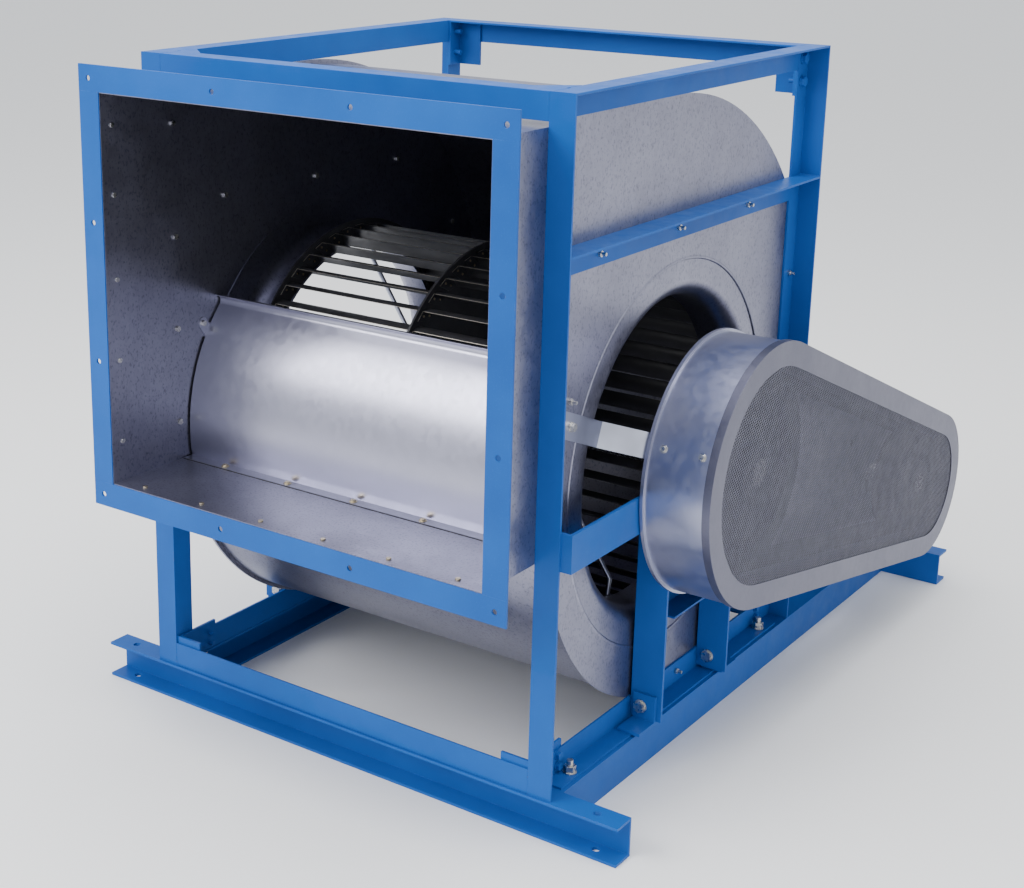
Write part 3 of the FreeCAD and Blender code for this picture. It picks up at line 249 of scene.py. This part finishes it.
def build_finishes():
    blue = enamel("blue_enamel", (0.007, 0.078, 0.320), (0.010, 0.106, 0.410), (0.16, 0.13, 0.12))
    return {
        "blue_paint": blue,
        "rail_paint": blue,
        "blue_bolts": blue,
        "galvanised": zinc_sheet("galvanised_sheet", (0.25, 0.25, 0.32), (0.35, 0.35, 0.44),
                                 (0.12, 0.12, 0.17), 0.55, 0.32, 0.42, 1.0 * MM),
        "smooth_galvanised": zinc_sheet("smooth_zinc_sheet", (0.39, 0.39, 0.49), (0.43, 0.43, 0.53),
                                        (0.35, 0.35, 0.44), 0.08, 0.30, 0.33, 0.4 * MM),
        "guard": zinc_sheet("guard_sheet", (0.40, 0.41, 0.52), (0.44, 0.45, 0.56),
                            (0.36, 0.37, 0.48), 0.05, 0.30, 0.33, 0.3 * MM),
        "guard_face": zinc_sheet("guard_face_sheet", (0.135, 0.135, 0.185), (0.160, 0.160, 0.210),
                                 (0.100, 0.100, 0.140), 0.20, 0.36, 0.42, 0.3 * MM),
        "guard_mesh": plain_metal("perforated_sheet", (0.165, 0.165, 0.215), 0.45, 90.0),
        "strap_steel": plain_metal("bright_strap", (0.56, 0.58, 0.68), 0.30, 8.0, 0.03),
        # Near-black coat for the painted shadow strip under the cut-off foot.
        "painted_gap_shadow": coarse_paint("painted_shadow_dark", (0.008, 0.008, 0.009), 0.8),
        "dark_steel": coarse_paint("dark_wheel_steel", (0.052, 0.052, 0.058), 0.40, 0.25, 90.0, 0.12),
        "blade_edge": plain_metal("bare_blade_edge", (0.74, 0.68, 0.58), 0.40, 200.0, 0.10, 0.7),
        "bright_steel": plain_metal("ground_steel", (0.52, 0.52, 0.53), 0.26, 300.0),
        "zinc_fasteners": plain_metal("zinc_plate", (0.62, 0.61, 0.58), 0.30, 240.0),
        "brassy_zinc": plain_metal("yellow_zinc_plate", (0.60, 0.52, 0.36), 0.34, 240.0),
        "cast_iron_grey": coarse_paint("cast_iron_paint", (0.060, 0.064, 0.070), 0.52, 0.1, 260.0, 0.5),
        "motor_paint": coarse_paint("motor_enamel", (0.055, 0.075, 0.100), 0.45, 0.1, 220.0, 0.3),
        "black_plastic": coarse_paint("fan_plastic", (0.02, 0.02, 0.02), 0.5, 0.0, 220.0, 0.1),
        "belt_rubber": rubber("belt_rubber"),
    }


FINISH = build_finishes()
LOOK_OF_NODE = {
    "guard_back": "guard", "guard_wall": "guard", "guard_cover": "guard_face",
    "wheel_rivets": "brassy_zinc", "outlet_screws": "zinc_fasteners", "stay_rods": "strap_steel",
}


def look(node):
    return FINISH[LOOK_OF_NODE.get(node, SLOT_OF[node])]


# ------------------------------------------------------------------ pieces
def new_piece(name, mesh, body, material):
    piece = bpy.data.objects.new(name, mesh)
    bpy.context.scene.collection.objects.link(piece)
    mesh.materials.clear()
    mesh.materials.append(material)
    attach(piece, body)
    return piece


def remade(node, bevel, segments=2):
    """The CAD node again with welded vertices, soft edges and smooth curved faces."""
    made = bmesh.new()
    made.from_mesh(frame["nodes"][node].data)
    bmesh.ops.remove_doubles(made, verts=made.verts, dist=0.01 * MM)
    bmesh.ops.dissolve_limit(made, angle_limit=math.radians(0.6), verts=made.verts, edges=made.edges)
    mesh = bpy.data.meshes.new(node + "_finished")
    made.to_mesh(mesh)
    made.free()
    if "custom_normal" in mesh.attributes:
        mesh.attributes.remove(mesh.attributes["custom_normal"])
    mesh.shade_smooth()
    mesh.set_sharp_from_angle(angle=SMOOTH_ANGLE)
    piece = new_piece(node + "_finished", mesh, BODY_OF[node], look(node))
    if bevel:
        soft = piece.modifiers.new("soft_edges", "BEVEL")
        soft.width = bevel * MM
        soft.segments = segments
        soft.limit_method = "ANGLE"
        soft.angle_limit = BEVEL_ANGLE
        soft.harden_normals = True
    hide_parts(node)
    return piece


def dress_frame():
    for node in ("base_channel_front", "base_channel_rear", "base_channel_cross", "base_channels_side"):
        remade(node, 1.8, 3)
    for node in ("posts_front", "posts_rear", "top_rails_side", "top_rails_cross", "mid_rails", "sole_angles",
                 "sole_rails", "corner_brackets", "bearing_beams", "uprights", "upright_ties",
                 "flange_top", "flange_bottom", "flange_sides"):
        remade(node, 0.9)


def dress_casing():
    for node in ("side_plate_right", "side_plate_left", "inlet_cone_right", "inlet_cone_left",
                 "scroll_wrapper", "duct_floor", "cutoff_plate", "guard_back"):
        remade(node, 0.0)
    for node in ("guard_wall", "guard_cover", "guard_strap"):
        remade(node, 0.45)


def dress_machinery():
    for node in ("fan_pulley", "motor_pulley", "pillow_blocks", "motor_frame", "motor_shields",
                 "motor_cowl", "motor_terminal_box", "slide_rails", "wheel_hub"):
        remade(node, 0.8)
    for node in ("fan_shaft", "motor_shaft", "bearing_rings", "stay_rods", "end_rings", "centre_disc",
                 "motor_fan", "belts", "wheel_rivets"):
        remade(node, 0.0)
    for node in ("hub_bolts", "bearing_bolts", "guard_screws", "adjusting_screws", "motor_bolts",
                 "casing_bolts", "frame_bolts", "bracket_bolts"):
        remade(node, 0.5)


def dress_outlet_screws():
    """Screws in the cut-off foot and the duct floor are yellow plated, the wall screws are not."""
    head_room = 15.0 * MM
    piece = remade("outlet_screws", 0.5)
    piece.data.materials.append(FINISH["brassy_zinc"])
    top_of_low_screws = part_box("duct_floor")[1].z + head_room
    for face in piece.data.polygons:
        if face.center.z < top_of_low_screws:
            face.material_index = 1


def foot_painted_shadow():
    """Painted shadow: a thin near-black strip along the front edge of the cut-off foot, where it lies on the
    duct floor, standing in for the shade in the gap under that edge.
    """
    end_inset = 3.0 * MM
    width = 2.0 * MM
    clearance = 0.1 * MM
    sunk = 0.2 * MM
    height = 0.5 * MM
    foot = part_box("cutoff_plate")[0]
    floor_low, floor_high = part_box("duct_floor")
    low = Vector((floor_low.x + end_inset, foot.y - width, floor_high.z - sunk))
    high = Vector((floor_high.x - end_inset, foot.y - clearance, floor_high.z + height))
    made = bmesh.new()
    placed = Matrix.Translation((low + high) / 2.0) @ Matrix.Diagonal((*(high - low), 1.0))
    bmesh.ops.create_cube(made, size=1.0, matrix=placed)
    mesh = bpy.data.meshes.new("cutoff_painted_shadow")
    made.to_mesh(mesh)
    made.free()
    new_piece("cutoff_painted_shadow", mesh, "frame", FINISH["painted_gap_shadow"])


def inlet_bead(side, sign):
    """Shallow pressed ring round the inlet where the spun inlet meets the casing side."""
    rim = 11.0 * MM
    steps = 180
    profile = ((-4.0, -1.4), (-3.0, 0.35), (-1.5, 1.15), (0.5, 1.15), (2.0, 0.35), (3.0, -0.2))
    low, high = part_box("inlet_cone_" + side)
    radius = (high.z - low.z) / 2.0 - rim
    plate = max(abs(low.x), abs(high.x)) + SHEET
    made = bmesh.new()
    rings = []
    for k in range(steps):
        turn = math.tau * k / steps
        ring = []
        for across, rise in profile:
            r = radius + across * MM
            x = sign * (plate + rise * MM)
            ring.append(made.verts.new((x, FAN.y + r * math.cos(turn), FAN.z + r * math.sin(turn))))
        rings.append(ring)
    for k in range(steps):
        here = rings[k]
        after = rings[(k + 1) % steps]
        for j in range(len(profile) - 1):
            made.faces.new((here[j], here[j + 1], after[j + 1], after[j]))
    bmesh.ops.recalc_face_normals(made, faces=made.faces)
    mesh = bpy.data.meshes.new("inlet_bead_" + side)
    made.to_mesh(mesh)
    made.free()
    mesh.shade_smooth()
    new_piece("inlet_bead_" + side, mesh, "frame", FINISH["galvanised"])


def dress_blades(node):
    """Blades again, with the bare sheared edge of the sheet on the outer rim."""
    rim_depth = 0.8 * MM
    piece = remade(node, 0.0)
    mesh = piece.data
    mesh.materials.append(FINISH["blade_edge"])
    box_low, box_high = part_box(node)
    outer = (box_high.z - box_low.z) / 2.0 - rim_depth
    for face in mesh.polygons:
        corners = [mesh.vertices[v].co for v in face.vertices]
        radii = [math.hypot(corner.y - FAN.y, corner.z - FAN.z) for corner in corners]
        if min(radii) > outer:
            face.material_index = 1


# ------------------------------------------------------------------ perforated guard panel
def outline_span(origin, direction, centre_a, radius_a, centre_b, radius_b):
    """Where a line enters and leaves the hull round two circles, as distances along it."""
    span = []
    steps = 60
    for k in range(steps + 1):
        t = k / steps
        centre = centre_a.lerp(centre_b, t)
        radius = radius_a + (radius_b - radius_a) * t
        off = origin - centre
        half = off.dot(direction)
        root = half * half - off.dot(off) + radius * radius
        if root > 0.0:
            span += [-half - math.sqrt(root), -half + math.sqrt(root)]
    return (min(span), max(span)) if span else None


def perforated_panel():
    """Two layers of flat parallel strands that cross, cut to the outline of the guard opening."""
    half_width = 0.80 * MM
    layer_gap = 0.25 * MM
    shortest = 4.0 * MM
    strands = 180
    layers = ((8.0, 4.6 * MM), (-54.0, 5.4 * MM))
    low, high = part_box("guard_mesh")
    radius_a = FAN.y - low.y
    radius_b = high.y - MOTOR.y
    a = Vector((FAN.y, FAN.z))
    b = Vector((MOTOR.y, MOTOR.z))
    made = bmesh.new()
    middle = (a + b) / 2.0
    for layer, (degrees, pitch) in enumerate(layers):
        direction = Vector((math.cos(math.radians(degrees)), math.sin(math.radians(degrees))))
        across = Vector((-direction.y, direction.x))
        x0 = low.x + layer * layer_gap
        x1 = high.x - (1 - layer) * layer_gap
        for k in range(-strands, strands + 1):
            origin = middle + across * (k * pitch)
            span = outline_span(origin, direction, a, radius_a, b, radius_b)
            if span is None or span[1] - span[0] < shortest:
                continue
            corners = []
            for x in (x0, x1):
                for t, side in ((span[0], -1), (span[1], -1), (span[1], 1), (span[0], 1)):
                    spot = origin + direction * t + across * (side * half_width)
                    corners.append(made.verts.new((x, spot.x, spot.y)))
            for quad in ((3, 2, 1, 0), (4, 5, 6, 7), (0, 1, 5, 4), (1, 2, 6, 5), (2, 3, 7, 6), (3, 0, 4, 7)):
                made.faces.new([corners[q] for q in quad])
    mesh = bpy.data.meshes.new("guard_mesh_strands")
    made.to_mesh(mesh)
    made.free()
    panel = new_piece("guard_mesh_strands", mesh, "frame", FINISH["guard_mesh"])
    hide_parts("guard_mesh")


# ------------------------------------------------------------------ weld beads
def weld(name, start, end, width=4.0):
    """Overlapping puddles of a hand weld between two points, painted over."""
    start = Vector(start)
    end = Vector(end)
    spacing = width * 0.55 * MM
    wobble = 0.25 * MM
    count = max(2, int((end - start).length / spacing))
    made = bmesh.new()
    for k in range(count + 1):
        spot = start.lerp(end, k / count)
        size = width * MM * rng.uniform(0.48, 0.62)
        jitter = Vector((rng.uniform(-1, 1), rng.uniform(-1, 1), rng.uniform(-1, 1))) * wobble
        placed = Matrix.Translation(spot + jitter)
        bmesh.ops.create_icosphere(made, subdivisions=2, radius=size, matrix=placed)
    mesh = bpy.data.meshes.new(name)
    made.to_mesh(mesh)
    made.free()
    mesh.shade_smooth()
    new_piece(name, mesh, "frame", FINISH["blue_paint"])


def add_welds():
    """Beads where the mid rails, the top rails and the sole angles meet the posts."""
    end_inset = 3.0 * MM
    rails_low, rails_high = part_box("mid_rails")
    posts_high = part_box("posts_front")[1]
    sole_low, sole_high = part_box("sole_angles")
    mid = rails_high.z
    top = posts_high.z - ANGLE_WALL
    inner = posts_high.x - ANGLE_LEG
    for side, sign in (("right", 1.0), ("left", -1.0)):
        outer = sign * (posts_high.x - end_inset)
        near = sign * (inner + ANGLE_WALL)
        for where, y in (("front", rails_low.y), ("rear", rails_high.y)):
            weld(f"weld_mid_{where}_{side}", (near, y, mid), (outer, y, mid), 3.2)
            weld(f"weld_top_{where}_{side}", (near, y, top), (outer, y, top), 3.0)
        for where, y in (("front", sole_low.y), ("rear", sole_high.y)):
            foot = sole_low.z + ANGLE_WALL
            weld(f"weld_sole_{where}_{side}", (near, y, foot), (near, y, sole_high.z), 3.2)


# ------------------------------------------------------------------ studio
def stage_floor():
    half = 30.0
    drop = 0.5 * MM
    mesh = bpy.data.meshes.new("studio_floor")
    made = bmesh.new()
    outline = ((-half, -half, 0), (half, -half, 0), (half, half, 0), (-half, half, 0))
    made.faces.new([made.verts.new(corner) for corner in outline])
    made.to_mesh(mesh)
    made.free()
    ground = bpy.data.objects.new("studio_floor", mesh)
    bpy.context.scene.collection.objects.link(ground)
    ground.location.z = -drop
    surface = Finish("studio_floor", (0.93, 0.93, 0.93), roughness=0.9)
    mesh.materials.append(surface.material)


def area_light(name, location, target, size, watts, tint=(1.0, 1.0, 1.0)):
    data = bpy.data.lights.new(name, "AREA")
    data.shape = "RECTANGLE"
    data.size, data.size_y = size
    data.energy = watts
    data.color = tint
    lamp = bpy.data.objects.new(name, data)
    bpy.context.scene.collection.objects.link(lamp)
    lamp.location = location
    lamp.rotation_mode = "QUATERNION"
    lamp.rotation_quaternion = (Vector(target) - Vector(location)).to_track_quat("-Z", "Y")


def light_studio():
    world = bpy.data.worlds.new("studio")
    bpy.context.scene.world = world
    world.use_nodes = True
    sky = world.node_tree.nodes["Background"]
    sky.inputs["Color"].default_value = (0.93, 0.96, 1.0, 1.0)
    sky.inputs["Strength"].default_value = 1.10
    area_light("key", (-2.2, -4.2, 3.6), (0.0, -0.4, 0.6), (3.0, 2.4), 205.0)
    area_light("top", (0.4, -0.6, 4.4), (0.0, -0.2, 0.6), (3.2, 3.2), 170.0)
    area_light("side", (4.6, -1.2, 2.4), (0.4, 0.0, 0.6), (2.4, 2.4), 20.0, (0.90, 0.95, 1.0))


def set_camera():
    back = Vector((math.sin(CAMERA_AZIMUTH) * math.cos(CAMERA_ELEVATION),
                   -math.cos(CAMERA_AZIMUTH) * math.cos(CAMERA_ELEVATION),
                   math.sin(CAMERA_ELEVATION)))
    level = Vector((math.cos(CAMERA_AZIMUTH), math.sin(CAMERA_AZIMUTH), 0.0))
    rise = back.cross(level)
    right = level * math.cos(CAMERA_ROLL) + rise * math.sin(CAMERA_ROLL)
    up = rise * math.cos(CAMERA_ROLL) - level * math.sin(CAMERA_ROLL)
    data = bpy.data.cameras.new("camera")
    data.sensor_width = 36.0
    data.lens = CAMERA_LENS
    data.shift_x, data.shift_y = CAMERA_SHIFT
    camera = bpy.data.objects.new("camera", data)
    bpy.context.scene.collection.objects.link(camera)
    turn = Matrix((right, up, back)).transposed().to_4x4()
    camera.matrix_world = Matrix.Translation(CAMERA_AT) @ turn
    bpy.context.scene.camera = camera


dress_frame()
dress_casing()
dress_machinery()
dress_outlet_screws()
dress_blades("blades_right")
dress_blades("blades_left")
foot_painted_shadow()
inlet_bead("right", 1.0)
inlet_bead("left", -1.0)
perforated_panel()
add_welds()
stage_floor()
light_studio()
set_camera()
